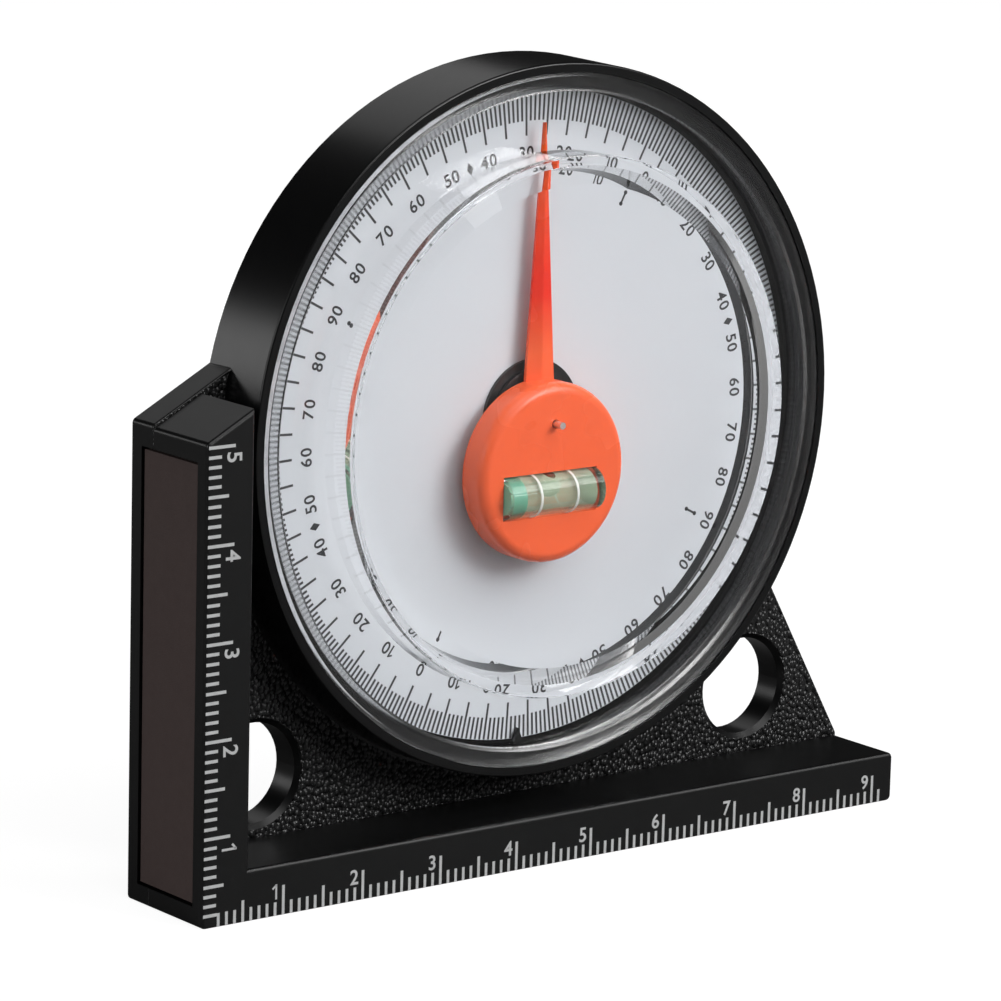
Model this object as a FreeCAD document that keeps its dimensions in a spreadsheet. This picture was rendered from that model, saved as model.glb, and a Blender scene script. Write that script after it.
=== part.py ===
# Slope protractor with a pendulum pointer, in millimetres.
# The part stands on its base: X runs along the base bar, Z is up, and the viewer looks along +Y.
# The origin is the middle of the underside.
# Every piece is drawn in front view: its own x is to the right, its own y is up and its own z
# comes towards the viewer. Heights above the back face are called levels here.
import FreeCAD, Part
import os
import Sketcher

doc = FreeCAD.newDocument("inclinometer")

# Driving dimensions
SIZES = [
    # base bar, arm and web
    ("base_length", 93.0),
    ("base_height", 5.5),
    ("bar_depth", 13.4),
    ("arm_width", 5.7),
    ("arm_height", 49.8),
    ("arm_slope", 28.0),
    ("corner_round", 0.6),
    ("edge_round", 0.4),
    ("web_thickness", 3.8),
    ("web_step", 0.3),
    ("web_round", 0.3),
    ("merge_depth", 0.2),
    ("slant_run", 14.0),
    ("slant_rise", 24.4),
    ("shoulder_run", 10.5),
    ("hole_radius", 5.4),
    ("hole_chamfer", 0.6),
    ("left_hole_x", 13.0),
    ("left_hole_y", 12.2),
    ("right_hole_x", 14.0),
    ("right_hole_y", 12.9),
    # round cup
    ("axis_height", 46.7),
    ("cup_radius", 37.9),
    ("cup_flare", 0.2),
    ("cup_depth", 9.4),
    ("rim_wall", 1.0),
    ("seat_width", 1.5),
    ("back_wall", 1.6),
    ("rim_round", 0.25),
    ("index_reach", 1.9),
    ("index_width", 1.7),
    ("index_thickness", 0.6),
    ("index_gap", 0.1),
    ("index_offset", -0.9),
    # magnetic strips
    ("strip_thickness", 1.5),
    ("strip_gap", 0.3),
    ("strip_sink", 0.2),
    ("strip_border", 1.7),
    ("strip_end", 2.1),
    # clear cover
    ("lens_clearance", 0.1),
    ("lens_thickness", 1.0),
    ("lens_rim_width", 1.9),
    ("lens_rim_rise", 1.1),
    ("lens_rim_chamfer", 0.3),
    ("crown_radius", 28.7),
    ("crown_rise", 4.5),
    ("crown_wall", 1.2),
    ("crown_cut_run", 1.9),
    ("crown_cut_drop", 0.7),
    ("crown_round", 0.15),
    ("lens_drop", 1.0),
    # setting knob and hub
    ("knob_pocket_radius", 12.6),
    ("knob_pocket_depth", 1.9),
    ("knob_wall", 1.6),
    ("knob_floor", 1.1),
    ("knob_gap", 0.4),
    ("knob_sink", 0.25),
    ("running_gap", 0.05),
    ("finger_radius", 3.0),
    ("finger_depth", 0.8),
    ("finger_offset", 7.2),
    ("neck_radius", 3.0),
    ("neck_clearance", 0.06),
    ("drive_side", 3.4),
    ("drive_depth", 0.8),
    ("fit_gap", 0.05),
    ("screw_radius", 0.85),
    ("screw_head_radius", 1.7),
    ("screw_reach", 2.3),
    ("washer_radius", 6.0),
    ("washer_thickness", 1.1),
    ("dial_gap", 0.65),
    ("dial_thickness", 0.8),
    ("flange_radius", 6.3),
    ("flange_thickness", 0.8),
    ("flange_step", 0.9),
    ("flange_front", 0.4),
    # pendulum
    ("pin_radius", 0.375),
    ("pin_grip", 1.9),
    ("pin_show", 1.2),
    ("pin_clearance", 0.045),
    ("spacer_radius", 1.8),
    ("spacer_thickness", 0.3),
    ("bob_radius", 9.65),
    ("bob_drop", 5.3),
    ("bob_thickness", 3.3),
    ("bob_wall", 0.9),
    ("bob_round", 1.2),
    ("bob_back_thickness", 0.5),
    ("bush_radius", 1.0),
    ("bush_wall", 0.8),
    ("pin_window_radius", 0.5),
    ("pointer_reach", 31.4),
    ("pointer_root", 3.8),
    ("pointer_tip", 0.35),
    ("pointer_side", 0.4),
    ("pointer_ridge", 0.85),
    ("ridge_width", 0.3),
    ("tip_height", 0.35),
    ("tip_side", 0.18),
    ("tip_ridge", 0.12),
    # level vial
    ("vial_radius", 2.25),
    ("vial_bore", 1.75),
    ("vial_length", 12.2),
    ("vial_offset", -0.5),
    ("vial_drop", 7.4),
    ("vial_sink", 0.5),
    ("vial_end", 0.9),
    ("vial_clearance", 0.1),
    ("plug_length", 2.0),
    ("bubble_length", 2.6),
    ("bubble_height", 2.3),
    ("bubble_overlap", 0.15),
    ("ring_spacing", 4.8),
    ("ring_width", 0.28),
    ("ring_thickness", 0.05),
]

sheet = doc.addObject("Spreadsheet::Sheet", "dims")
for row, (alias, value) in enumerate(SIZES, start=1):
    sheet.set("A%d" % row, alias)
    sheet.set("B%d" % row, str(value))
    sheet.setAlias("B%d" % row, alias)
doc.recompute()

# Levels above the back face, from the knob's pocket forward to the cover
HALF_LENGTH = "dims.base_length / 2"
POCKET_RADIUS = "(dims.cup_radius - dims.rim_wall)"
BORE_RADIUS = "(dims.cup_radius - dims.rim_wall - dims.seat_width)"
BOSS_LEVEL = "(dims.knob_pocket_depth + dims.knob_floor)"
DIAL_LEVEL = "(%s + dims.washer_thickness + 2 * dims.running_gap)" % BOSS_LEVEL
FLANGE_LEVEL = "(%s + dims.dial_thickness)" % DIAL_LEVEL
SPACER_LEVEL = "(%s + dims.flange_thickness + dims.running_gap)" % FLANGE_LEVEL
BOB_LEVEL = "(%s + dims.spacer_thickness + dims.running_gap)" % SPACER_LEVEL
BOB_FACE = "(%s + dims.bob_thickness)" % BOB_LEVEL
LENS_FACE = "(dims.cup_depth - dims.lens_drop)"
LENS_LEVEL = "(%s - dims.lens_thickness)" % LENS_FACE
SEAT_LEVEL = "(%s - dims.lens_clearance)" % LENS_LEVEL
KNOB_RADIUS = "(dims.knob_pocket_radius - dims.knob_gap)"
KNOB_THICKNESS = "(dims.knob_pocket_depth - dims.knob_sink - dims.running_gap)"
BOB_BORE = "(dims.bob_radius - dims.bob_wall)"

# How close two numbers count as the same level, and the least volume a cut takes
NEAR = 0.01
TINY = 1e-6


def origin_plane(body, role):
    """One of the body's own origin planes."""
    for feature in body.Origin.OriginFeatures:
        if feature.Role == role:
            return feature
    raise ValueError(role)


FRONT_VIEW = FreeCAD.Rotation(FreeCAD.Vector(1, 0, 0), 90)


def axes(own_x, own_y, own_z):
    """The rotation that lays a piece's own axes along the given directions."""
    return FreeCAD.Rotation(FreeCAD.Vector(*own_x), FreeCAD.Vector(*own_y), FreeCAD.Vector(*own_z), "ZXY")


def new_body(name, x="0", y="0", level="0", rotation=FRONT_VIEW):
    """A sub-part whose own origin lies at x, y in front view and at a level."""
    body = doc.addObject("PartDesign::Body", name)
    body.Label = name
    body.Placement = FreeCAD.Placement(FreeCAD.Vector(0, 0, 0), rotation)
    body.setExpression("Placement.Base.x", x)
    body.setExpression("Placement.Base.y", "dims.bar_depth / 2 - (%s)" % level)
    body.setExpression("Placement.Base.z", y)
    return body


def new_round_body(name, level="0"):
    """A sub-part on the pivot axis."""
    return new_body(name, "0", "dims.axis_height", level)


def sketch_on(body, name, offset="0", role="XY_Plane"):
    """A sketch on one of the body's planes, moved along the plane's normal."""
    sketch = body.newObject("Sketcher::SketchObject", name)
    sketch.AttachmentSupport = (origin_plane(body, role), [""])
    sketch.MapMode = "FlatFace"
    sketch.setExpression("AttachmentOffset.Base.z", offset)
    return sketch


def value_of(expression):
    """The number that an expression gives with the sheet as it is."""
    return float(sheet.evalExpression(expression.replace("dims.", "")))


def pin_point(sketch, geometry, position, x, y):
    """Ties one point of a sketch to its place."""
    for kind, axis, place in (("DistanceX", "x", x), ("DistanceY", "y", y)):
        number = value_of(place)
        index = sketch.addConstraint(Sketcher.Constraint(kind, -1, 1, geometry, position, number))
        sketch.setExpression("Constraints[%d]" % index, place)


def add_polygon(sketch, corners, rounds=()):
    """A closed outline with every corner tied to its place, and some corners rounded."""
    points = [FreeCAD.Vector(value_of(x), value_of(y), 0) for x, y in corners]
    first = sketch.GeometryCount
    for start, end in zip(points, points[1:] + points[:1]):
        sketch.addGeometry(Part.LineSegment(start, end))
    count = len(corners)
    for step in range(count):
        following = first + (step + 1) % count
        sketch.addConstraint(Sketcher.Constraint("Coincident", first + step, 2, following, 1))
    for step, (x, y) in enumerate(corners):
        pin_point(sketch, first + step, 1, x, y)
    for step, radius in rounds:
        sketch.fillet(first + step, 1, value_of(radius), True, True)
        arc = sketch.GeometryCount - 2
        index = sketch.addConstraint(Sketcher.Constraint("Radius", arc, value_of(radius)))
        sketch.setExpression("Constraints[%d]" % index, radius)


def add_box(sketch, left, right, low, high):
    """An upright rectangle."""
    add_polygon(sketch, [(left, low), (right, low), (right, high), (left, high)])


def pad(body, sketch, length):
    """Material from the sketch towards the viewer."""
    feature = body.newObject("PartDesign::Pad", sketch.Name + "_pad")
    feature.Profile = sketch
    feature.setExpression("Length", length)
    doc.recompute()
    return feature


def pocket(body, sketch, length, towards_viewer=True):
    """A cut from the sketch, and a check that it took something away."""
    before = body.Shape.Volume
    feature = body.newObject("PartDesign::Pocket", sketch.Name + "_cut")
    feature.Profile = sketch
    feature.Reversed = towards_viewer
    feature.setExpression("Length", length)
    doc.recompute()
    if body.Shape.Volume > before - TINY:
        raise ValueError("nothing cut by " + feature.Name)
    return feature


def turn(body, sketch):
    """A full turn of a half section about the upright through the sketch's own origin."""
    feature = body.newObject("PartDesign::Revolution", sketch.Name + "_turn")
    feature.Profile = sketch
    feature.ReferenceAxis = (sketch, ["V_Axis"])
    feature.Angle = 360
    doc.recompute()
    return feature


def edges_where(body, rule):
    """Names of the edges that a rule picks on the body as built so far."""
    names = []
    for number, edge in enumerate(body.Tip.Shape.Edges, start=1):
        if rule(edge):
            names.append("Edge%d" % number)
    if not names:
        raise ValueError("no edge found on " + body.Name)
    return names


def round_edges(body, name, radius, rule):
    """Fillets on the edges that the rule picks."""
    base = body.Tip
    names = edges_where(body, rule)
    feature = body.newObject("PartDesign::Fillet", name)
    feature.Base = (base, names)
    feature.setExpression("Radius", radius)
    doc.recompute()
    return feature


def edge_at(level, above=None):
    """A rule that picks edges lying at a level, and only those higher up than a limit if there is one."""
    def rule(edge):
        if any(abs(vertex.Z - level) > NEAR for vertex in edge.Vertexes):
            return False
        return above is None or all(vertex.Y > above for vertex in edge.Vertexes)
    return rule


def place_primitive(body, kind, name, level, height, y="0", x="0"):
    """A primitive of the body whose base lies at a level."""
    feature = body.newObject(kind, name)
    feature.AttachmentSupport = (origin_plane(body, "XY_Plane"), [""])
    feature.MapMode = "FlatFace"
    feature.setExpression("AttachmentOffset.Base.x", x)
    feature.setExpression("AttachmentOffset.Base.y", y)
    feature.setExpression("AttachmentOffset.Base.z", level)
    if height:
        feature.setExpression("Height", height)
    return feature


def add_disc(body, name, radius, level, height, y="0"):
    """A round of material that starts at a level."""
    feature = place_primitive(body, "PartDesign::AdditiveCylinder", name, level, height, y)
    feature.setExpression("Radius", radius)
    doc.recompute()
    return feature


def cut_disc(body, name, radius, level, height, y="0", x="0"):
    """A round cut that starts at a level, and a check that it took something away."""
    before = body.Shape.Volume
    feature = place_primitive(body, "PartDesign::SubtractiveCylinder", name, level, height, y, x)
    feature.setExpression("Radius", radius)
    doc.recompute()
    if body.Shape.Volume > before - TINY:
        raise ValueError("nothing cut by " + name)
    return feature


def add_cone(body, name, radius_low, radius_high, level, height, y="0"):
    """A round of material that narrows towards the viewer."""
    feature = place_primitive(body, "PartDesign::AdditiveCone", name, level, height, y)
    feature.setExpression("Radius1", radius_low)
    feature.setExpression("Radius2", radius_high)
    doc.recompute()
    return feature


def cut_cone(body, name, radius_low, radius_high, level, height, y="0", x="0"):
    """A conical cut."""
    feature = place_primitive(body, "PartDesign::SubtractiveCone", name, level, height, y, x)
    feature.setExpression("Radius1", radius_low)
    feature.setExpression("Radius2", radius_high)
    doc.recompute()
    return feature


def make_housing():
    """Base bar, arm, web and cup, moulded in one."""
    body = new_body("housing")
    half = HALF_LENGTH
    web = sketch_on(body, "web")
    web_top = "dims.arm_height + dims.web_step"
    corner = "dims.corner_round"
    add_polygon(web, [
        ("-" + half, "0"),
        (half, "0"),
        (half, "dims.base_height"),
        (half + " - dims.slant_run", "dims.base_height + dims.slant_rise"),
        ("-%s + dims.shoulder_run" % half, web_top + " + dims.shoulder_run * tan(dims.arm_slope)"),
        ("-" + half, web_top),
    ], [(0, corner), (1, corner), (5, corner)])
    pad(body, web, "dims.web_thickness")
    arm_top = value_of("dims.arm_height")
    round_edges(body, "web_round", "dims.web_round", edge_at(value_of("dims.web_thickness"), above=arm_top))
    bars = sketch_on(body, "bars")
    inner = "-%s + dims.arm_width" % half
    add_polygon(bars, [
        ("-" + half, "0"),
        (half, "0"),
        (half, "dims.base_height"),
        (inner, "dims.base_height"),
        (inner, "dims.arm_height + dims.arm_width * tan(dims.arm_slope)"),
        ("-" + half, "dims.arm_height"),
    ], [(0, corner), (1, corner), (2, corner), (5, corner)])
    pad(body, bars, "dims.bar_depth")
    round_edges(body, "front_round", "dims.edge_round", edge_at(value_of("dims.bar_depth")))

    # the cup, its bore with the cover's seat, and the raised centre of its back
    cup = sketch_on(body, "cup", "-dims.axis_height", "XZ_Plane")
    add_polygon(cup, [
        ("0", "0"),
        ("dims.cup_radius + dims.cup_flare", "0"),
        ("dims.cup_radius", "dims.cup_depth"),
        ("0", "dims.cup_depth"),
    ], [(2, "dims.rim_round")])
    turn(body, cup)
    cut_disc(body, "bore", BORE_RADIUS, "dims.back_wall", "dims.cup_depth", "dims.axis_height")
    cut_disc(body, "cover_pocket", POCKET_RADIUS, SEAT_LEVEL, "dims.cup_depth", "dims.axis_height")
    add_disc(body, "centre_boss", "dims.knob_pocket_radius + dims.knob_wall", "0", BOSS_LEVEL,
             "dims.axis_height")
    cut_disc(body, "knob_pocket", "dims.knob_pocket_radius", "0", "dims.knob_pocket_depth",
             "dims.axis_height")
    cut_disc(body, "neck_hole", "dims.neck_radius + dims.neck_clearance", "0",
             BOSS_LEVEL + " + dims.running_gap", "dims.axis_height")

    # the index triangle grows from the bore's wall close to six o'clock
    index = sketch_on(body, "index", FLANGE_LEVEL + " + dims.index_gap")
    root = "dims.axis_height - %s - dims.merge_depth" % BORE_RADIUS
    add_polygon(index, [
        ("dims.index_offset - dims.index_width / 2", root),
        ("dims.index_offset + dims.index_width / 2", root),
        ("dims.index_offset", "dims.axis_height - %s + dims.index_reach" % BORE_RADIUS),
    ])
    pad(body, index, "dims.index_thickness")

    # hanging holes in the web, each with a chamfered mouth
    holes = [
        ("left", "-%s + dims.left_hole_x" % half, "dims.left_hole_y"),
        ("right", half + " - dims.right_hole_x", "dims.right_hole_y"),
    ]
    for side, x, y in holes:
        cut_disc(body, side + "_hole", "dims.hole_radius", "0", "dims.web_thickness", y, x)
        cut_cone(body, side + "_mouth", "dims.hole_radius", "dims.hole_radius + dims.hole_chamfer",
                 "dims.web_thickness - dims.hole_chamfer", "dims.hole_chamfer", y, x)

    # recesses for the two magnetic strips
    recess_depth = "dims.strip_thickness + dims.strip_sink"
    side = sketch_on(body, "side_recess", "-" + half, "YZ_Plane")
    add_box(side, "dims.strip_end", "dims.arm_height - dims.strip_end",
            "dims.strip_border", "dims.bar_depth - dims.strip_border")
    pocket(body, side, recess_depth)
    under = sketch_on(body, "base_recess", "0", "XZ_Plane")
    add_box(under, "-%s + dims.strip_end + %s" % (half, recess_depth), half + " - dims.strip_end",
            "dims.strip_border", "dims.bar_depth - dims.strip_border")
    pocket(body, under, recess_depth, towards_viewer=False)
    return body


def make_strip(name, x, y, rotation, length):
    """A magnetic strip in its recess, lying in its own XY plane."""
    body = new_body(name, x, y, "dims.bar_depth / 2", rotation)
    strip = sketch_on(body, name + "_outline")
    width = "(dims.bar_depth - 2 * dims.strip_border - 2 * dims.strip_gap)"
    add_box(strip, "-(%s) / 2" % length, "(%s) / 2" % length, "-%s / 2" % width, "%s / 2" % width)
    pad(body, strip, "dims.strip_thickness")
    return body


def make_strips():
    """One strip in the arm's outer face and one under the base bar."""
    recess = "(dims.strip_thickness + dims.strip_sink)"
    side_length = "dims.arm_height - 2 * dims.strip_end - 2 * dims.strip_gap"
    facing_left = axes((0, 0, 1), (0, 1, 0), (-1, 0, 0))
    side = make_strip("side_magnet", "-%s + %s" % (HALF_LENGTH, recess), "dims.arm_height / 2",
                      facing_left, side_length)
    base_length = "dims.base_length - 2 * dims.strip_end - %s - 2 * dims.strip_gap" % recess
    facing_down = axes((1, 0, 0), (0, -1, 0), (0, 0, -1))
    under = make_strip("base_magnet", recess + " / 2", recess, facing_down, base_length)
    return [side, under]


def make_lens():
    """Clear cover: a flat ring over the scale and a raised crown over the pendulum."""
    body = new_round_body("lens", LENS_LEVEL)
    section = sketch_on(body, "lens_section", role="XZ_Plane")
    outer = "%s - dims.lens_clearance" % POCKET_RADIUS
    rim_inner = outer + " - dims.lens_rim_width"
    face = "dims.lens_thickness"
    rim_top = "dims.lens_thickness + dims.lens_rim_rise"
    crown_inner = "dims.crown_radius - dims.crown_wall"
    crown_back = "dims.crown_rise"
    crown_face = "dims.crown_rise + dims.lens_thickness"
    add_polygon(section, [
        ("0", crown_back),
        (crown_inner + " - dims.crown_cut_run", crown_back),
        (crown_inner, crown_back + " - dims.crown_cut_drop"),
        (crown_inner, "0"),
        (outer, "0"),
        (outer, rim_top + " - dims.lens_rim_chamfer"),
        (outer + " - dims.lens_rim_chamfer", rim_top),
        (rim_inner + " + dims.lens_rim_chamfer", rim_top),
        (rim_inner, rim_top + " - dims.lens_rim_chamfer"),
        (rim_inner, face),
        ("dims.crown_radius", face),
        ("dims.crown_radius", crown_face + " - dims.crown_round"),
        ("dims.crown_radius - dims.crown_round", crown_face),
        ("0", crown_face),
    ])
    turn(body, section)
    return body


def make_dial():
    """Flat disc that carries the scale and turns with its hub."""
    body = new_round_body("dial", DIAL_LEVEL)
    add_disc(body, "dial_disc", "%s - dims.dial_gap" % BORE_RADIUS, "0", "dims.dial_thickness")
    cut_disc(body, "dial_hole", "dims.neck_radius + dims.fit_gap", "0", "dims.dial_thickness")
    return body


def make_hub():
    """Neck through dial and back, stepped flange in front, square drive behind."""
    drive_level = "(dims.knob_pocket_depth - dims.running_gap - dims.drive_depth + dims.fit_gap)"
    body = new_round_body("dial_hub", drive_level)
    drive = sketch_on(body, "drive")
    half = "dims.drive_side / 2"
    add_box(drive, "-" + half, half, "-" + half, half)
    pad(body, drive, "dims.drive_depth - dims.fit_gap")
    neck_level = "(dims.drive_depth - dims.fit_gap)"
    add_disc(body, "neck", "dims.neck_radius", neck_level,
             "%s - %s - %s" % (FLANGE_LEVEL, drive_level, neck_level))
    add_disc(body, "flange", "dims.flange_radius", "%s - %s" % (FLANGE_LEVEL, drive_level),
             "dims.flange_thickness - dims.flange_front")
    add_disc(body, "flange_front", "dims.flange_radius - dims.flange_step",
             "%s - %s + dims.flange_thickness - dims.flange_front" % (FLANGE_LEVEL, drive_level),
             "dims.flange_front")
    cut_disc(body, "screw_bore", "dims.screw_radius", "0", "dims.screw_reach + dims.fit_gap")
    cut_disc(body, "pin_bore", "dims.pin_radius",
             "%s - %s + dims.flange_thickness - dims.pin_grip" % (FLANGE_LEVEL, drive_level), "dims.pin_grip")
    return body


def make_knob():
    """Disc in the back's pocket with two finger dimples and the square that drives the hub."""
    body = new_round_body("setting_knob", "dims.knob_sink")
    add_disc(body, "knob_disc", KNOB_RADIUS, "0", KNOB_THICKNESS)
    socket = sketch_on(body, "drive_socket", "%s - dims.drive_depth" % KNOB_THICKNESS)
    half = "(dims.drive_side / 2 + dims.fit_gap)"
    add_box(socket, "-" + half, half, "-" + half, half)
    pocket(body, socket, "dims.drive_depth")
    for side, sign in (("upper", ""), ("lower", "-")):
        cut_disc(body, side + "_dimple", "dims.finger_radius", "0", "dims.finger_depth",
                 sign + "dims.finger_offset")
    web = "(%s - dims.drive_depth)" % KNOB_THICKNESS
    cut_cone(body, "screw_mouth", "dims.screw_head_radius + dims.fit_gap", "dims.screw_radius + dims.fit_gap",
             "0", web)
    return body


def make_screw():
    """Countersunk screw from behind, through the knob into the hub."""
    body = new_round_body("knob_screw", "dims.knob_sink")
    web = "(%s - dims.drive_depth)" % KNOB_THICKNESS
    add_cone(body, "screw_head", "dims.screw_head_radius", "dims.screw_radius", "0", web)
    add_disc(body, "screw_shank", "dims.screw_radius", web, "dims.screw_reach")
    return body


def make_washer():
    """Ring between the back's boss and the dial; its drag holds the dial where it is set."""
    body = new_round_body("friction_washer", "%s + dims.running_gap" % BOSS_LEVEL)
    add_disc(body, "washer_disc", "dims.washer_radius", "0", "dims.washer_thickness")
    cut_disc(body, "washer_hole", "dims.neck_radius + dims.neck_clearance", "0", "dims.washer_thickness")
    return body


def make_pin():
    """Steel pin pressed in the hub; the pendulum swings on it."""
    start = "(%s + dims.flange_thickness - dims.pin_grip)" % FLANGE_LEVEL
    body = new_round_body("pivot_pin", start)
    add_disc(body, "pin", "dims.pin_radius", "0", "%s + dims.pin_show - %s" % (BOB_FACE, start))
    return body


def make_spacer():
    """Thin washer that keeps the pendulum off the hub."""
    body = new_round_body("spacer_washer", SPACER_LEVEL)
    add_disc(body, "spacer_disc", "dims.spacer_radius", "0", "dims.spacer_thickness")
    cut_disc(body, "spacer_hole", "dims.pin_radius + dims.pin_clearance", "0", "dims.spacer_thickness")
    return body


def make_pendulum():
    """Bob shell, open behind, and the long pointer above it."""
    body = new_round_body("pendulum", BOB_LEVEL)
    bob = "-dims.bob_drop"
    disc = sketch_on(body, "bob", "dims.bob_drop", "XZ_Plane")
    add_polygon(disc, [
        ("0", "0"),
        ("dims.bob_radius", "0"),
        ("dims.bob_radius", "dims.bob_thickness"),
        ("0", "dims.bob_thickness"),
    ], [(2, "dims.bob_round")])
    turn(body, disc)
    add_pointer(body)
    cut_disc(body, "bob_hollow", BOB_BORE, "0", "dims.bob_thickness - dims.bob_wall", bob)
    add_disc(body, "bearing_boss", "dims.bush_radius + dims.bush_wall",
             "dims.bob_back_thickness + dims.fit_gap",
             "dims.bob_thickness - dims.bob_wall + dims.merge_depth - dims.bob_back_thickness - dims.fit_gap")
    cut_disc(body, "bush_bore", "dims.bush_radius", "0", "dims.bob_thickness - dims.bob_wall")
    cut_disc(body, "pin_window", "dims.pin_window_radius", "0", "dims.bob_thickness")
    window = sketch_on(body, "vial_window")
    reach = "(dims.vial_length / 2 + dims.vial_clearance)"
    half = "(dims.vial_radius + dims.vial_clearance)"
    add_box(window, "dims.vial_offset - " + reach, "dims.vial_offset + " + reach,
            "-dims.vial_drop - " + half, "-dims.vial_drop + " + half)
    pocket(body, window, "dims.bob_thickness")
    return body


def add_pointer(body):
    """Tapered pointer with a raised ridge, from inside the bob's wall to its tip."""
    root = sketch_on(body, "pointer_root", "-(%s - dims.bob_drop + dims.merge_depth)" % BOB_BORE, "XZ_Plane")
    tip = sketch_on(body, "pointer_tip", "-dims.pointer_reach", "XZ_Plane")
    for sketch, width, ridge, side, top in (
        (root, "dims.pointer_root", "dims.ridge_width", "dims.pointer_side", "dims.pointer_ridge"),
        (tip, "dims.pointer_tip", "dims.tip_ridge", "dims.tip_side", "dims.tip_height"),
    ):
        half = "%s / 2" % width
        crest = "%s / 2" % ridge
        add_polygon(sketch, [
            ("-" + half, "0"),
            (half, "0"),
            (half, side),
            (crest, top),
            ("-" + crest, top),
            ("-" + half, side),
        ])
    loft = body.newObject("PartDesign::AdditiveLoft", "pointer")
    loft.Profile = root
    loft.Sections = [tip]
    loft.Ruled = True
    doc.recompute()
    return loft


def make_bush():
    """Brass bearing pressed in the bob's boss."""
    body = new_round_body("pivot_bush", "%s + dims.bob_back_thickness + dims.fit_gap" % BOB_LEVEL)
    length = "dims.bob_thickness - dims.bob_wall - dims.bob_back_thickness - dims.fit_gap"
    add_disc(body, "bush_disc", "dims.bush_radius", "0", length)
    cut_disc(body, "bush_hole", "dims.pin_radius + dims.pin_clearance", "0", length)
    return body


def make_bob_back():
    """Thin disc that closes the bob from behind."""
    body = new_round_body("bob_back", BOB_LEVEL)
    add_disc(body, "back_disc", "%s - dims.fit_gap" % BOB_BORE, "0", "dims.bob_back_thickness",
             "-dims.bob_drop")
    cut_disc(body, "back_hole", "dims.pin_window_radius", "0", "dims.bob_back_thickness")
    return body


def make_weight():
    """Zinc segment below the vial, which keeps the bob hanging down."""
    body = new_round_body("bob_weight", "%s + dims.bob_back_thickness" % BOB_LEVEL)
    height = "dims.bob_thickness - dims.bob_wall - dims.bob_back_thickness"
    add_disc(body, "weight_disc", "%s - dims.fit_gap" % BOB_BORE, "0", height, "-dims.bob_drop")
    above = sketch_on(body, "weight_top")
    reach = "dims.bob_radius"
    add_box(above, "-" + reach, reach, "-dims.vial_drop - dims.vial_radius - dims.vial_clearance", reach)
    pocket(body, above, height)
    return body


ALONG_VIAL = axes((0, 1, 0), (0, 0, 1), (1, 0, 0))


def new_vial_body(name, x="0"):
    """A piece of the level: its own z runs to the right along the vial, its own y is up."""
    return new_body(name, "dims.vial_offset - dims.vial_length / 2 + (%s)" % x,
                    "dims.axis_height - dims.vial_drop", "%s - dims.vial_sink" % BOB_FACE, ALONG_VIAL)


def make_vial():
    """Clear tube closed at the right, its end plug and its liquid with the bubble's space."""
    tube = new_vial_body("vial_tube")
    add_disc(tube, "tube", "dims.vial_radius", "0", "dims.vial_length")
    cut_disc(tube, "tube_bore", "dims.vial_bore", "0", "dims.vial_length - dims.vial_end")

    plug = new_vial_body("vial_plug")
    add_disc(plug, "plug_disc", "dims.vial_bore", "0", "dims.plug_length")

    liquid = new_vial_body("vial_liquid", "dims.plug_length")
    add_disc(liquid, "liquid_column", "dims.vial_bore", "0",
             "dims.vial_length - dims.vial_end - dims.plug_length")
    before = liquid.Shape.Volume
    bubble = place_primitive(liquid, "PartDesign::SubtractiveEllipsoid", "bubble",
                             "dims.vial_length / 2 - dims.plug_length", None,
                             "dims.vial_bore + dims.bubble_overlap - dims.bubble_height / 2")
    bubble.setExpression("Radius1", "dims.bubble_length / 2")
    bubble.setExpression("Radius2", "dims.bubble_height / 2")
    bubble.setExpression("Radius3", "dims.bubble_height / 2")
    doc.recompute()
    if liquid.Shape.Volume > before - TINY:
        raise ValueError("the bubble leaves the liquid whole")
    return [tube, plug, liquid]


def make_rings():
    """Two white ring marks round the tube, either side of the bubble."""
    rings = []
    for side, sign in (("left", "-"), ("right", "")):
        outer = doc.addObject("Part::Cylinder", side + "_ring_outside")
        outer.setExpression("Radius", "dims.vial_radius + dims.ring_thickness")
        inner = doc.addObject("Part::Cylinder", side + "_ring_inside")
        inner.setExpression("Radius", "dims.vial_radius")
        for cylinder in (outer, inner):
            cylinder.setExpression("Height", "dims.ring_width")
            cylinder.setExpression("Placement.Base.z", "%sdims.ring_spacing / 2 - dims.ring_width / 2" % sign)
        ring = doc.addObject("Part::Cut", side + "_ring")
        ring.Base = outer
        ring.Tool = inner
        rings.append(ring)
    pair = doc.addObject("Part::Compound", "vial_rings")
    pair.Label = "vial_rings"
    pair.Links = rings
    pair.Placement = FreeCAD.Placement(FreeCAD.Vector(0, 0, 0), ALONG_VIAL)
    pair.setExpression("Placement.Base.x", "dims.vial_offset")
    pair.setExpression("Placement.Base.y", "dims.bar_depth / 2 - (%s - dims.vial_sink)" % BOB_FACE)
    pair.setExpression("Placement.Base.z", "dims.axis_height - dims.vial_drop")
    doc.recompute()
    return pair


def check(sub_parts):
    """Stops before anything is written if a feature or a shape has failed."""
    doc.recompute()
    for item in doc.Objects:
        if "Invalid" in item.State or "Error" in item.State:
            raise ValueError("failed: " + item.Name)
    for item in sub_parts:
        if item.Shape.isNull() or not item.Shape.isValid() or not item.Shape.Solids:
            raise ValueError("no valid shape: " + item.Label)


def write(sub_parts):
    """One STEP file for each sub-part."""
    os.makedirs("parts", exist_ok=True)
    for item in sub_parts:
        item.Shape.exportStep("parts/%s.step" % item.Label)
        box = item.Shape.BoundBox
        print("%-16s %9.2f mm3  x %7.2f %7.2f  y %6.2f %6.2f  z %6.2f %6.2f" % (
            item.Label, item.Shape.Volume, box.XMin, box.XMax, box.YMin, box.YMax, box.ZMin, box.ZMax))


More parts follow.
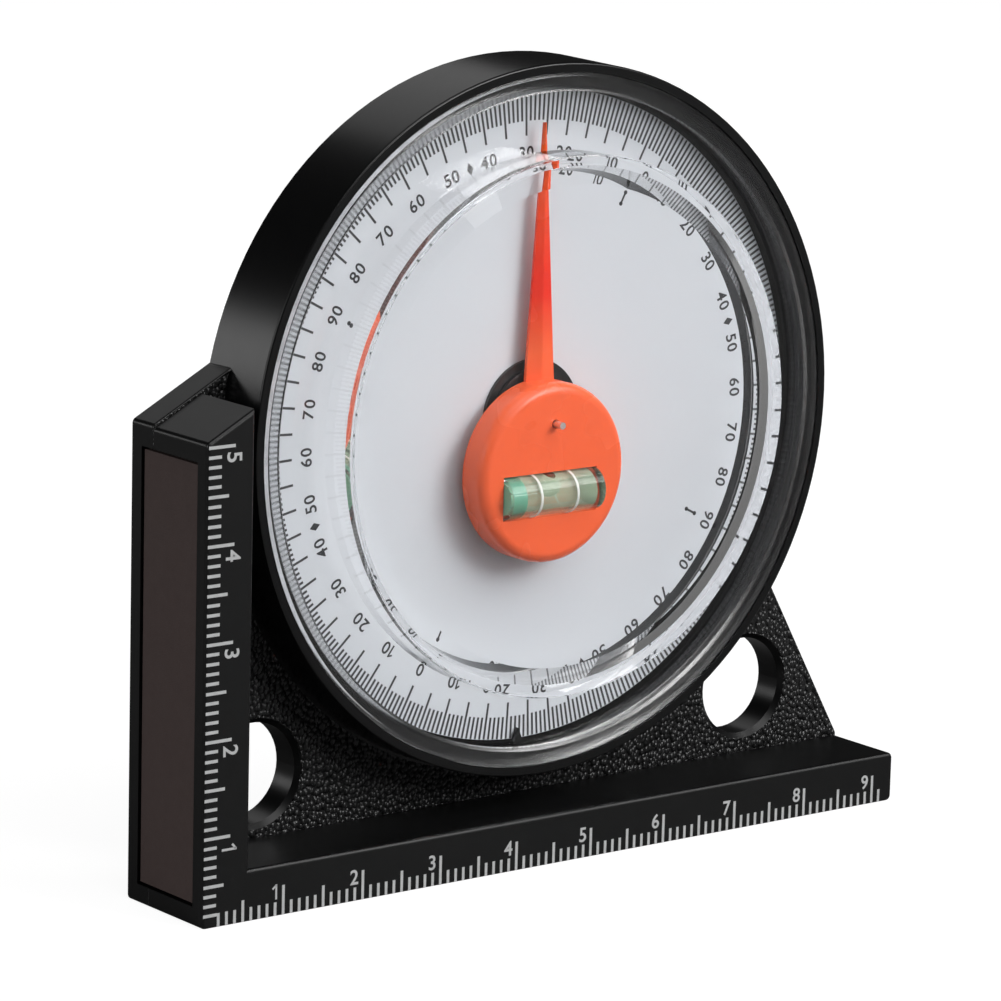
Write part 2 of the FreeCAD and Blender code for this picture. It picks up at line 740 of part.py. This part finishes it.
sub_parts = [make_housing()]
sub_parts += make_strips()
sub_parts += [make_lens(), make_dial(), make_hub(), make_knob(), make_screw(), make_washer(), make_pin()]
sub_parts += [make_spacer(), make_pendulum(), make_bush(), make_bob_back(), make_weight()]
sub_parts += make_vial()
sub_parts += [make_rings()]
check(sub_parts)
write(sub_parts)
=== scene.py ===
# Looks of the slope protractor: print, grain, clear cover, level vial, studio and camera.
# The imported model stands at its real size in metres, X along the base bar, Z up, the viewer on the -Y side.
import math

import bpy
from mathutils import Matrix, Vector


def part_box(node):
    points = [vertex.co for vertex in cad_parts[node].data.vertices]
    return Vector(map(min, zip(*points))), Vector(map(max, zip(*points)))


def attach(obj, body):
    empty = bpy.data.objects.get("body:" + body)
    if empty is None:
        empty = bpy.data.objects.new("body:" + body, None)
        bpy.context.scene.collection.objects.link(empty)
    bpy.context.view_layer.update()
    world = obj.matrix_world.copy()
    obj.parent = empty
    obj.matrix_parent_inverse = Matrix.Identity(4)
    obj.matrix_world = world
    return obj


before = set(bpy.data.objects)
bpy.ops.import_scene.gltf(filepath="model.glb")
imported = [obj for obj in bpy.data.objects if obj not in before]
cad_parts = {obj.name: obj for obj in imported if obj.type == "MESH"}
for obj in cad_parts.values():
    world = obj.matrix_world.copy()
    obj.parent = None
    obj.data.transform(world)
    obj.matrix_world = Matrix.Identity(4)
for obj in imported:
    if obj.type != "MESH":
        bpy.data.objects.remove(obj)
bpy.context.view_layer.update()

MM = 0.001
DEGREE = math.pi / 180

# Where the print goes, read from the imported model
bar_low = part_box("housing")[0]
dial_low, dial_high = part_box("dial")
RULER_FACE = bar_low.y
LEFT_END = bar_low.x
DIAL_FACE = dial_low.y
DIAL_RADIUS = (dial_high.x - dial_low.x) / 2
AXIS_HEIGHT = (dial_high.z + dial_low.z) / 2

# Where a moulding's finish changes, in millimetres: radii from the dial's axis and places along Y
BORE_RADIUS = 37.0
CUP_RADIUS = 38.3
COVER_RIM_INNER = 34.85
WEB_FACE = 2.9
WEB_FACE_MARGIN = 0.08
BAR_FACE_MARGIN = 0.1

# Heights above the underside, in millimetres, between which painted shade turns the pointer a deeper red and
# then fades lighter again towards its tip
POINTER_SHADE_FROM = 54
POINTER_SHADE_TO = 60
POINTER_SHADE_FADES_FROM = 62
POINTER_SHADE_FADES_TO = 76

# Pebbled grain of the web's face
PEBBLES_PER_METRE = 1800
PEBBLE_DEPTH = 0.42

# Print on the rulers, in millimetres: the arm's zero lies a little below the underside
INK_THICKNESS = 0.012
RULER_ZERO_DROP = 0.6
RULER_FIRST = 2
BAR_LAST = 91
ARM_LAST = 50
RULER_LINE = 0.34
RULER_EDGE_GAP = 0.15
BAR_TICKS = {10: 3.24, 5: 2.4, 1: 1.55}
ARM_TICKS = {10: 3.33, 5: 2.6, 1: 1.7}
BAR_DIGIT_HEIGHT = 1.6
BAR_DIGIT_LEFT = 1.1
BAR_DIGIT_RISE = 0.2
ARM_DIGIT_HEIGHT = 1.8
ARM_DIGIT_LEFT = 0.1
ARM_DIGIT_DROP = 1.15

# Figures, in parts of their height
FIGURE_BOLDNESS = 0.016
FIGURE_GAP = 0.16
ONE_STEM_SIZE = (0.14, 1, 1)
ONE_FLAG_SIZE = (0.36, 0.13, 1)
ONE_FLAG_PLACE = (-0.15, 0.815, 0)
ONE_FLAG_TURN = 40

# Print on the dial, in millimetres and degrees: its middle is a little off the disc's own
DIAL_TURN = 28.0
PRINT_X = -0.3
PRINT_Z = -0.4
TICK_WIDTH = 0.26
LONG_TICK_INNER = 30.35
SHORT_TICK_INNER = 31.9
DISC_MARGIN = 0.04
NUMERAL_RADIUS = 28.55
NUMERAL_HEIGHT = 1.4
LOZENGE_LENGTH = 1.35
LOZENGE_WIDTH = 0.85
BEAD_RADIUS = 25.9
BEAD_LENGTH = 1.3
BEAD_WIDTH = 0.24

# Studio: the floor's glow and the sky's strength that the camera sees, and the sky's light on the part
FLOOR_SIDE = 6
FLOOR_GLOW = 0.93
SKY_SEEN = 1.0
SKY_FILL = 0.015

# Softboxes: degrees to the right of straight ahead, degrees up, side in metres, watts
LAMP_DISTANCE = 1.3
SOFTBOXES = {
    "key_right": (28, 26, 0.5, 5.8),
    "high_right": (48, 38, 0.55, 4),
    "overhead": (-5, 62, 0.8, 4.5),
    "fill_left": (-85, 16, 0.6, 3),
    "behind_above": (160, 34, 0.6, 0.62),
    "behind_left": (-142, 9, 0.3, 0.74),
}

# The photograph's camera, worked out from the rulers: metres, degrees and pixels
CAMERA_PLACE = (-0.32428, -0.40972, 0.14675)
CAMERA_AZIMUTH = -37.965
CAMERA_ELEVATION = 11.771
CAMERA_ROLL = 1.438
FOCAL_PIXELS = 5059.34
PICTURE_WIDTH = 1001

# A Mix node's two inputs and its output, by number, for each kind of value
MIX_SOCKETS = {"FLOAT": (2, 3, 0), "VECTOR": (4, 5, 1), "RGBA": (6, 7, 2)}


def deselect_all():
    """Leaves nothing selected, so that the next operator acts on its own piece."""
    if bpy.context.object is not None and bpy.context.object.mode != "OBJECT":
        bpy.ops.object.mode_set(mode="OBJECT")
    bpy.ops.object.select_all(action="DESELECT")


def select_only(piece):
    """Makes one piece the selected and active one."""
    deselect_all()
    piece.select_set(True)
    bpy.context.view_layer.objects.active = piece


def settle(piece):
    """Moves the piece's place, turn and scale into its mesh."""
    select_only(piece)
    bpy.ops.object.transform_apply(location=True, rotation=True, scale=True)


def join(pieces, name):
    """One piece made of several."""
    deselect_all()
    for piece in pieces:
        piece.select_set(True)
    bpy.context.view_layer.objects.active = pieces[0]
    bpy.ops.object.join()
    pieces[0].name = name
    pieces[0].data.name = name
    return pieces[0]


def thin_blocks(name, blocks):
    """One piece of printed lines, each a thin block with its centre, its size and its turn clockwise."""
    deselect_all()
    piece = None
    for centre, size, turn in blocks:
        bpy.ops.mesh.primitive_cube_add(size=1, location=centre, rotation=(0, turn, 0), scale=size)
        if piece is None:
            piece = bpy.context.object
            piece.name = name
            settle(piece)
            # From here on each new block becomes part of the first one's mesh
            bpy.ops.object.mode_set(mode="EDIT")
    bpy.ops.object.mode_set(mode="OBJECT")
    return piece


def corners_of(pieces):
    """The lowest and highest corner of flat pieces together."""
    points = [vertex.co for piece in pieces for vertex in piece.data.vertices]
    return (Vector([min(point[axis] for point in points) for axis in range(3)]),
            Vector([max(point[axis] for point in points) for axis in range(3)]))


def plain_one():
    """The figure 1: a stem with a slanted flag, one unit tall and thick."""
    deselect_all()
    bpy.ops.mesh.primitive_cube_add(size=1, location=(0, 0.5, 0), scale=ONE_STEM_SIZE)
    stem = bpy.context.object
    settle(stem)
    deselect_all()
    bpy.ops.mesh.primitive_cube_add(size=1, location=ONE_FLAG_PLACE,
                                    rotation=(0, 0, ONE_FLAG_TURN * DEGREE), scale=ONE_FLAG_SIZE)
    flag = bpy.context.object
    settle(flag)
    return join([stem, flag], "figure")


def round_figure(text):
    """Any other figure from the built-in font, a little bolder, one unit tall and thick."""
    deselect_all()
    bpy.ops.object.text_add()
    letter = bpy.context.object.data
    letter.body = text
    letter.resolution_u = 5
    letter.offset = FIGURE_BOLDNESS
    letter.extrude = 0.5
    bpy.ops.object.convert(target="MESH")
    figure = bpy.context.object
    low, high = corners_of([figure])
    figure.scale = (1 / (high.y - low.y), 1 / (high.y - low.y), 1 / (high.z - low.z))
    settle(figure)
    return figure


def printed_number(text, height, centre, turn):
    """A number as thin ink, upright in the front view at turn 0 and turned clockwise from there."""
    figures = []
    edge = 0
    for sign in text:
        figure = plain_one() if sign == "1" else round_figure(sign)
        low, high = corners_of([figure])
        figure.location = (edge - low.x, -low.y, 0)
        settle(figure)
        edge += high.x - low.x + FIGURE_GAP
        figures.append(figure)
    number = join(figures, "number")
    low, high = corners_of([number])
    select_only(number)
    bpy.ops.object.mode_set(mode="EDIT")
    bpy.ops.mesh.select_all(action="SELECT")
    bpy.ops.transform.translate(value=-(low + high) / 2)
    bpy.ops.object.mode_set(mode="OBJECT")
    number.scale = (height, height, INK_THICKNESS * MM)
    number.rotation_euler = (math.pi / 2, turn, 0)
    number.location = centre
    settle(number)
    return number


def tick_length(step, lengths):
    """How long a ruler's line is at a whole number of millimetres."""
    for every in sorted(lengths, reverse=True):
        if step % every == 0:
            return lengths[every] * MM
    raise ValueError(step)


def print_bar_ruler():
    """Centimetre scale along the lower edge of the base bar."""
    ink = INK_THICKNESS * MM
    face = RULER_FACE - ink / 2
    start = RULER_EDGE_GAP * MM
    lines = []
    for step in range(RULER_FIRST, BAR_LAST + 1):
        top = tick_length(step, BAR_TICKS)
        centre = (LEFT_END + step * MM, face, (start + top) / 2)
        lines.append((centre, (RULER_LINE * MM, ink, top - start), 0))
    pieces = [thin_blocks("bar_ruler", lines)]
    height = BAR_DIGIT_HEIGHT * MM
    for centimetre in range(1, BAR_LAST // 10 + 1):
        x = LEFT_END + centimetre * 10 * MM - BAR_DIGIT_LEFT * MM
        z = BAR_TICKS[10] * MM - height / 2 + BAR_DIGIT_RISE * MM
        pieces.append(printed_number(str(centimetre), height, (x, face, z), 0))
    return join(pieces, "bar_ruler")


def print_arm_ruler():
    """Centimetre scale up the outer edge of the arm."""
    ink = INK_THICKNESS * MM
    face = RULER_FACE - ink / 2
    start = LEFT_END + RULER_EDGE_GAP * MM
    lines = []
    for step in range(RULER_FIRST, ARM_LAST + 1):
        end = LEFT_END + tick_length(step, ARM_TICKS)
        if step == RULER_FIRST:
            # The lowest line ends where the bar's first one stands
            end = LEFT_END + (RULER_FIRST - RULER_LINE / 2) * MM
        centre = ((start + end) / 2, face, (step - RULER_ZERO_DROP) * MM)
        lines.append((centre, (end - start, ink, RULER_LINE * MM), 0))
    pieces = [thin_blocks("arm_ruler", lines)]
    for centimetre in range(1, ARM_LAST // 10 + 1):
        x = LEFT_END + ARM_TICKS[10] * MM - ARM_DIGIT_LEFT * MM
        z = (centimetre * 10 - RULER_ZERO_DROP - ARM_DIGIT_DROP) * MM
        pieces.append(printed_number(str(centimetre), ARM_DIGIT_HEIGHT * MM, (x, face, z), 90 * DEGREE))
    return join(pieces, "arm_ruler")


def on_dial(radius, angle):
    """A point of the print on the dial: radius in millimetres, angle clockwise from the top."""
    return Vector(((PRINT_X + radius * math.sin(angle)) * MM, DIAL_FACE - INK_THICKNESS * MM / 2,
                   AXIS_HEIGHT + (PRINT_Z + radius * math.cos(angle)) * MM))


def reach_to_disc_edge(angle):
    """The radius from the print's middle at which a line meets the disc's edge."""
    along = PRINT_X * math.sin(angle) + PRINT_Z * math.cos(angle)
    disc = DIAL_RADIUS / MM - DISC_MARGIN
    return math.sqrt(along ** 2 + disc ** 2 - PRINT_X ** 2 - PRINT_Z ** 2) - along


def print_dial_lines():
    """A line at each degree, longer at each fifth, that all run out to the disc's edge."""
    lines = []
    for step in range(360):
        inner = LONG_TICK_INNER if step % 5 == 0 else SHORT_TICK_INNER
        angle = (DIAL_TURN + step) * DEGREE
        outer = reach_to_disc_edge(angle)
        size = (TICK_WIDTH * MM, INK_THICKNESS * MM, (outer - inner) * MM)
        lines.append((on_dial((outer + inner) / 2, angle), size, angle))
    return thin_blocks("dial_lines", lines)


def dial_number(tens):
    """What the dial shows so many tens of degrees from its zero: up to 90 and back, twice round."""
    part = tens % 18
    return str(10 * min(part, 18 - part))


def print_dial_numbers():
    """Numbers each ten degrees, their tops outward."""
    numbers = []
    for tens in range(36):
        angle = DIAL_TURN * DEGREE + tens * 10 * DEGREE
        centre = on_dial(NUMERAL_RADIUS, angle)
        numbers.append(printed_number(dial_number(tens), NUMERAL_HEIGHT * MM, centre, angle))
    return join(numbers, "dial_numbers")


def lozenge(angle):
    """A small lozenge between the numbers, longer along the dial's radius."""
    deselect_all()
    bpy.ops.mesh.primitive_cylinder_add(vertices=4, radius=0.5, depth=INK_THICKNESS * MM)
    sign = bpy.context.object
    sign.rotation_euler = (math.pi / 2, angle, 0)
    sign.scale = (LOZENGE_WIDTH * MM, LOZENGE_LENGTH * MM, 1)
    sign.location = on_dial(NUMERAL_RADIUS, angle)
    settle(sign)
    return sign


def beaded_bar(angle):
    """A small bar with a round bead at each end, as its three parts."""
    ink = INK_THICKNESS * MM
    deselect_all()
    bpy.ops.mesh.primitive_cube_add(size=1, location=on_dial(BEAD_RADIUS, angle), rotation=(0, angle, 0),
                                    scale=(BEAD_WIDTH * MM, ink, BEAD_LENGTH * MM))
    parts = [bpy.context.object]
    settle(parts[0])
    for end in (-1, 1):
        deselect_all()
        bpy.ops.mesh.primitive_cylinder_add(vertices=16, radius=BEAD_WIDTH * MM, depth=ink,
                                            location=on_dial(BEAD_RADIUS + end * BEAD_LENGTH / 2, angle),
                                            rotation=(math.pi / 2, 0, 0))
        parts.append(bpy.context.object)
        settle(parts[-1])
    return parts


def print_dial_signs():
    """A lozenge at each 45 degrees, and a beaded bar inside each 0 and 90."""
    signs = []
    for quarter in range(4):
        signs.append(lozenge(DIAL_TURN * DEGREE + (45 + 90 * quarter) * DEGREE))
        signs += beaded_bar(DIAL_TURN * DEGREE + 90 * quarter * DEGREE)
    return join(signs, "dial_signs")


def new_material(name, settings=None):
    """A material with one Principled shader and its plain values."""
    material = bpy.data.materials.new(name)
    material.use_nodes = True
    for socket, value in (settings or {}).items():
        shader_of(material).inputs[socket].default_value = value
    return material


def shader_of(material):
    """The material's Principled shader."""
    return material.node_tree.nodes["Principled BSDF"]


def add_node(owner, kind, settings=None, inputs=None):
    """A node in a material or world; each input gets a plain value or the socket that feeds it."""
    tree = owner.node_tree
    node = tree.nodes.new(kind)
    for name, value in (settings or {}).items():
        setattr(node, name, value)
    for name, value in (inputs or {}).items():
        if isinstance(value, bpy.types.NodeSocket):
            tree.links.new(value, node.inputs[name])
        else:
            node.inputs[name].default_value = value
    return node


def link(material, source, socket):
    """Feeds one socket of the Principled shader."""
    material.node_tree.links.new(source, shader_of(material).inputs[socket])


def show(material, node):
    """Makes a shader node the material's surface."""
    output = material.node_tree.nodes["Material Output"]
    material.node_tree.links.new(node.outputs[0], output.inputs["Surface"])


def object_point(material):
    """The point on the piece, in metres of the part's own frame."""
    return add_node(material, "ShaderNodeTexCoord").outputs["Object"]


def coordinate(material, point, axis):
    """How far the point lies along X, Y or Z."""
    return add_node(material, "ShaderNodeSeparateXYZ", inputs={"Vector": point}).outputs[axis]


def from_axis(material, point):
    """How far the point lies from the dial's axis."""
    flat = add_node(material, "ShaderNodeVectorMath", {"operation": "MULTIPLY"}, {0: point, 1: (1, 0, 1)})
    return add_node(material, "ShaderNodeVectorMath", {"operation": "DISTANCE"},
                    {0: flat.outputs[0], 1: (0, 0, AXIS_HEIGHT)}).outputs["Value"]


def noise(material, point, per_metre, detail=3.0):
    """Soft noise from 0 to 1 at a number of waves to the metre."""
    return add_node(material, "ShaderNodeTexNoise", inputs={
        "Vector": point, "Scale": per_metre, "Detail": detail}).outputs["Fac"]


def calculate(material, operation, first, second, margin=0.0):
    """The result of a Math node; a comparison gives one where it holds and otherwise nought."""
    return add_node(material, "ShaderNodeMath", {"operation": operation},
                    {0: first, 1: second, 2: margin}).outputs[0]


def between(material, factor, low, high):
    """Maps 0 to 1 onto low to high."""
    return add_node(material, "ShaderNodeMapRange", inputs={
        "Value": factor, "To Min": low, "To Max": high}).outputs["Result"]


def rise(material, value, start, end):
    """Maps start to end onto 0 to 1."""
    return add_node(material, "ShaderNodeMapRange", inputs={
        "Value": value, "From Min": start, "From Max": end}).outputs["Result"]


def mix(material, kind, factor, first, second):
    """Blends two values of one kind: the first where the factor is nought, the second where it is one."""
    from_first, from_second, result = MIX_SOCKETS[kind]
    return add_node(material, "ShaderNodeMix", {"data_type": kind},
                    {0: factor, from_first: first, from_second: second}).outputs[result]


def pick(material, mask, where_nought, where_one):
    """A value that the mask chooses from two."""
    return mix(material, "FLOAT", mask, where_nought, where_one)


def two_tone(material, factor, first, second):
    """A colour between two by a factor; each is a plain colour or another mix."""
    return mix(material, "RGBA", factor, first, second)


def bump(material, height, depth, strength=1.0):
    """A surface normal from a height, in metres of depth."""
    return add_node(material, "ShaderNodeBump", inputs={
        "Height": height, "Distance": depth, "Strength": strength}).outputs["Normal"]


def mottle(material, point, per_metre, first, second, detail=3.0):
    """Lets the colour wander between two tones."""
    cloud = noise(material, point, per_metre, detail)
    link(material, two_tone(material, cloud, first, second), "Base Color")


def sheen(material, point, per_metre, low, high, detail=3.0):
    """Lets the roughness wander between two values."""
    link(material, between(material, noise(material, point, per_metre, detail), low, high), "Roughness")


def grain(material, point, per_metre, depth, detail=3.0, strength=1.0):
    """Gives the surface a fine grain."""
    height = noise(material, point, per_metre, detail)
    link(material, bump(material, height, depth, strength), "Normal")


def black_moulding():
    """Near-black moulding: satin bars, a polished cup, a pebbled web face and a mirror-smooth bore."""
    material = new_material("black_moulding")
    point = object_point(material)
    radius = from_axis(material, point)
    depth = coordinate(material, point, "Y")
    in_bore = calculate(material, "LESS_THAN", radius, BORE_RADIUS * MM)
    outside = calculate(material, "GREATER_THAN", radius, CUP_RADIUS * MM)
    web_level = calculate(material, "COMPARE", depth, WEB_FACE * MM, WEB_FACE_MARGIN * MM)
    on_web = calculate(material, "MULTIPLY", web_level, outside)
    on_face = calculate(material, "COMPARE", depth, RULER_FACE, BAR_FACE_MARGIN * MM)

    even = two_tone(material, noise(material, point, 400, 4),
                    (0.0030, 0.0031, 0.0033, 1), (0.0052, 0.0053, 0.0056, 1))
    link(material, two_tone(material, on_web, even, (0.020, 0.020, 0.0205, 1)), "Base Color")

    cell = add_node(material, "ShaderNodeTexVoronoi", inputs={"Vector": point, "Scale": PEBBLES_PER_METRE})
    from_crest = cell.outputs["Distance"]
    crest = calculate(material, "SUBTRACT", 1.0, calculate(material, "MULTIPLY", from_crest, from_crest))
    pebbles = bump(material, crest, PEBBLE_DEPTH * MM)
    satin = bump(material, noise(material, point, 9000, 2), 0.004 * MM, 0.4)
    link(material, mix(material, "VECTOR", on_web, satin, pebbles), "Normal")

    speckle = noise(material, point, 700)
    cup_wall = between(material, speckle, 0.25, 0.27)
    bore_wall = between(material, speckle, 0.08, 0.1)
    bar_sides = between(material, speckle, 0.3, 0.34)
    bar_faces = between(material, speckle, 0.4, 0.46)
    web = between(material, speckle, 0.22, 0.28)
    cup = pick(material, in_bore, cup_wall, bore_wall)
    beyond = pick(material, on_web, pick(material, on_face, bar_sides, bar_faces), web)
    link(material, pick(material, outside, cup, beyond), "Roughness")
    return material


def plain_black():
    """Black of the plastic hub and knob and the rubber washer, with a fine grain."""
    material = new_material("black_hub", {"Specular IOR Level": 0.45})
    point = object_point(material)
    mottle(material, point, 900, (0.007, 0.007, 0.008, 1), (0.013, 0.013, 0.014, 1))
    sheen(material, point, 500, 0.25, 0.4)
    grain(material, point, 6000, 0.01 * MM)
    return material


def dial_white():
    """Cool white disc, faintly mottled."""
    material = new_material("dial_white", {"Specular IOR Level": 0.4})
    point = object_point(material)
    mottle(material, point, 60, (0.66, 0.69, 0.735, 1), (0.70, 0.73, 0.77, 1))
    sheen(material, point, 1500, 0.42, 0.5)
    grain(material, point, 5000, 0.004 * MM, 2)
    return material


def dial_ink():
    """Dark grey ink of the dial."""
    material = new_material("dial_ink")
    point = object_point(material)
    mottle(material, point, 1800, (0.018, 0.019, 0.022, 1), (0.05, 0.052, 0.058, 1))
    sheen(material, point, 900, 0.4, 0.55)
    return material


def ruler_ink():
    """White ink of the rulers."""
    material = new_material("ruler_ink")
    point = object_point(material)
    mottle(material, point, 1500, (0.62, 0.63, 0.63, 1), (0.86, 0.87, 0.87, 1), 4)
    sheen(material, point, 900, 0.4, 0.6)
    return material


def orange_plastic():
    """Glossy orange moulding, with painted shade that makes the pointer a deeper red above the bob and fades
    lighter again towards its tip.
    """
    material = new_material("orange_moulding", {"Specular IOR Level": 0.5})
    point = object_point(material)
    height = coordinate(material, point, "Z")
    cloud = noise(material, point, 120, 2)
    bob = two_tone(material, cloud, (0.96, 0.130, 0.036, 1), (0.99, 0.138, 0.040, 1))
    # Painted shade: the pointer is the bob's own orange, painted a deeper red as if in shade, and lighter
    # again towards its tip
    shade_fading_to_tip = rise(material, height, POINTER_SHADE_FADES_FROM * MM, POINTER_SHADE_FADES_TO * MM)
    shaded_pointer = two_tone(material, shade_fading_to_tip, (0.87, 0.022, 0.002, 1), (0.92, 0.10, 0.014, 1))
    # Mask of the painted shade: nought on the bob, one on the pointer above it
    pointer_shade_mask = rise(material, height, POINTER_SHADE_FROM * MM, POINTER_SHADE_TO * MM)
    link(material, two_tone(material, pointer_shade_mask, bob, shaded_pointer), "Base Color")
    link(material, between(material, cloud, 0.24, 0.3), "Roughness")
    grain(material, point, 1200, 0.004 * MM, 2, 0.5)
    return material


def magnet_brown():
    """Dull brown magnetic strip."""
    material = new_material("magnet_brown", {"Specular IOR Level": 0.3})
    point = object_point(material)
    mottle(material, point, 900, (0.100, 0.071, 0.067, 1), (0.120, 0.086, 0.081, 1), 5)
    sheen(material, point, 3000, 0.5, 0.68)
    grain(material, point, 7000, 0.02 * MM, 4)
    return material


def let_lamps_through(material):
    """Lamps light what lies behind the clear piece."""
    path = add_node(material, "ShaderNodeLightPath")
    open_air = add_node(material, "ShaderNodeBsdfTransparent")
    show(material, add_node(material, "ShaderNodeMixShader", inputs={
        0: path.outputs["Is Shadow Ray"], 1: shader_of(material).outputs[0], 2: open_air.outputs[0]}))


def clear_acrylic(name, colour=(1, 1, 1, 1), ior=1.49):
    """Clear polished plastic."""
    material = new_material(name, {"Base Color": colour, "IOR": ior, "Transmission Weight": 1.0})
    sheen(material, object_point(material), 300, 0.0, 0.012, 2)
    let_lamps_through(material)
    return material


def clear_cover():
    """Clear plastic, polished but for its slightly frosted outer rim."""
    material = clear_acrylic("clear_cover")
    point = object_point(material)
    on_rim = calculate(material, "GREATER_THAN", from_axis(material, point), COVER_RIM_INNER * MM)
    polished = shader_of(material).inputs["Roughness"].links[0].from_socket
    frosted = between(material, noise(material, point, 1500, 2), 0.16, 0.24)
    link(material, pick(material, on_rim, polished, frosted), "Roughness")
    return material


def cloudy_liquid():
    """Pale green spirit that scatters part of the light."""
    material = clear_acrylic("vial_green", (0.55, 0.68, 0.52, 1), 1.33)
    shader_of(material).inputs["Transmission Weight"].default_value = 0.5
    return material


def bright_steel():
    """Steel of the pin and the screw."""
    material = new_material("bright_steel", {"Metallic": 1.0, "Base Color": (0.86, 0.86, 0.87, 1)})
    sheen(material, object_point(material), 4000, 0.32, 0.42)
    return material


def plain_brass():
    """Brass of the bush and the thin washer."""
    material = new_material("plain_brass", {"Metallic": 1.0, "Base Color": (0.72, 0.52, 0.22, 1)})
    sheen(material, object_point(material), 4000, 0.25, 0.4)
    return material


def grey_zinc():
    """Cast zinc of the weight inside the bob."""
    material = new_material("grey_zinc", {"Metallic": 1.0, "Base Color": (0.45, 0.46, 0.47, 1)})
    sheen(material, object_point(material), 3000, 0.4, 0.6)
    return material


def mint_plug():
    """Mint green plug that lets a little light in."""
    material = new_material("mint_plug", {"Subsurface Weight": 0.2, "Subsurface Scale": 0.001})
    point = object_point(material)
    mottle(material, point, 900, (0.16, 0.50, 0.34, 1), (0.28, 0.66, 0.48, 1))
    sheen(material, point, 900, 0.3, 0.45)
    return material


def ring_white():
    """White ring marks of the vial."""
    material = new_material("ring_white")
    mottle(material, object_point(material), 3000, (0.7, 0.74, 0.7, 1), (0.85, 0.88, 0.85, 1))
    return material


def dress(nodes, material):
    """Gives CAD pieces their finish."""
    for node in nodes:
        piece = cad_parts[node]
        piece.data.materials.clear()
        piece.data.materials.append(material)


def finish_print(piece, material, body):
    """Gives a printed piece its ink, and lets it ride on a body."""
    piece.data.materials.clear()
    piece.data.materials.append(material)
    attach(piece, body)


def white_studio():
    """Pale floor under a white sky, both white to the camera alone."""
    deselect_all()
    bpy.ops.mesh.primitive_plane_add(size=FLOOR_SIDE, location=(0, 0, 0))
    floor = bpy.context.object
    floor.name = "floor"
    material = new_material("floor_pale", {"Base Color": (0.25, 0.25, 0.25, 1), "Roughness": 0.9,
                                           "Specular IOR Level": 0.0})
    path = add_node(material, "ShaderNodeLightPath")
    glow = add_node(material, "ShaderNodeEmission", inputs={"Strength": FLOOR_GLOW})
    unlit = add_node(material, "ShaderNodeEmission", inputs={"Strength": 0})
    seen = add_node(material, "ShaderNodeMixShader", inputs={
        0: path.outputs["Is Camera Ray"], 1: unlit.outputs[0], 2: glow.outputs[0]})
    show(material, add_node(material, "ShaderNodeAddShader", inputs={
        0: shader_of(material).outputs[0], 1: seen.outputs[0]}))
    floor.data.materials.append(material)

    world = bpy.data.worlds.new("studio")
    bpy.context.scene.world = world
    world.use_nodes = True
    sky = world.node_tree.nodes["Background"]
    sky.inputs["Color"].default_value = (1, 1, 1, 1)
    path = add_node(world, "ShaderNodeLightPath")
    strength = between(world, path.outputs["Is Camera Ray"], SKY_FILL, SKY_SEEN)
    world.node_tree.links.new(strength, sky.inputs["Strength"])


def direction(azimuth, elevation):
    """A unit vector: degrees to the right of straight ahead and degrees up."""
    azimuth *= DEGREE
    elevation *= DEGREE
    return Vector((math.sin(azimuth) * math.cos(elevation), -math.cos(azimuth) * math.cos(elevation),
                   math.sin(elevation)))


def lamps():
    """Two lamps on the right, one overhead, a weaker one on the left, and two faint ones behind."""
    middle = Vector((0, 0, AXIS_HEIGHT))
    for name, (azimuth, elevation, side, power) in SOFTBOXES.items():
        lamp = bpy.data.lights.new(name, "AREA")
        lamp.shape = "SQUARE"
        lamp.size = side
        lamp.energy = power
        holder = bpy.data.objects.new(name, lamp)
        bpy.context.scene.collection.objects.link(holder)
        holder.location = direction(azimuth, elevation) * LAMP_DISTANCE + middle
        holder.rotation_euler = (middle - holder.location).to_track_quat("-Z", "Y").to_euler()


def photo_camera():
    """The photograph's own viewpoint."""
    back = direction(CAMERA_AZIMUTH, CAMERA_ELEVATION)
    level = Vector((math.cos(CAMERA_AZIMUTH * DEGREE), math.sin(CAMERA_AZIMUTH * DEGREE), 0))
    upright = back.cross(level)
    roll = CAMERA_ROLL * DEGREE
    right = math.cos(roll) * level + math.sin(roll) * upright
    up = -math.sin(roll) * level + math.cos(roll) * upright
    lens = bpy.data.cameras.new("camera")
    lens.sensor_width = 36
    lens.lens = FOCAL_PIXELS * lens.sensor_width / PICTURE_WIDTH
    lens.clip_start = 0.01
    lens.clip_end = 50
    camera = bpy.data.objects.new("camera", lens)
    bpy.context.scene.collection.objects.link(camera)
    turn = Matrix((right, up, back)).transposed().to_4x4()
    camera.matrix_world = Matrix.Translation(Vector(CAMERA_PLACE)) @ turn
    bpy.context.scene.camera = camera


photo_camera()
white_studio()
lamps()
bpy.context.scene.view_settings.view_transform = "Standard"

dress(("housing",), black_moulding())
dress(("dial_hub", "setting_knob", "friction_washer"), plain_black())
dress(("side_magnet", "base_magnet"), magnet_brown())
dress(("lens",), clear_cover())
dress(("dial",), dial_white())
dress(("pendulum", "bob_back"), orange_plastic())
dress(("pivot_pin", "knob_screw"), bright_steel())
dress(("spacer_washer", "pivot_bush"), plain_brass())
dress(("bob_weight",), grey_zinc())
dress(("vial_tube",), clear_acrylic("vial_clear"))
dress(("vial_liquid",), cloudy_liquid())
dress(("vial_plug",), mint_plug())
dress(("vial_rings",), ring_white())

white_ink = ruler_ink()
finish_print(print_bar_ruler(), white_ink, "housing")
finish_print(print_arm_ruler(), white_ink, "housing")
grey_ink = dial_ink()
for printed in (print_dial_lines(), print_dial_numbers(), print_dial_signs()):
    finish_print(printed, grey_ink, "dial")
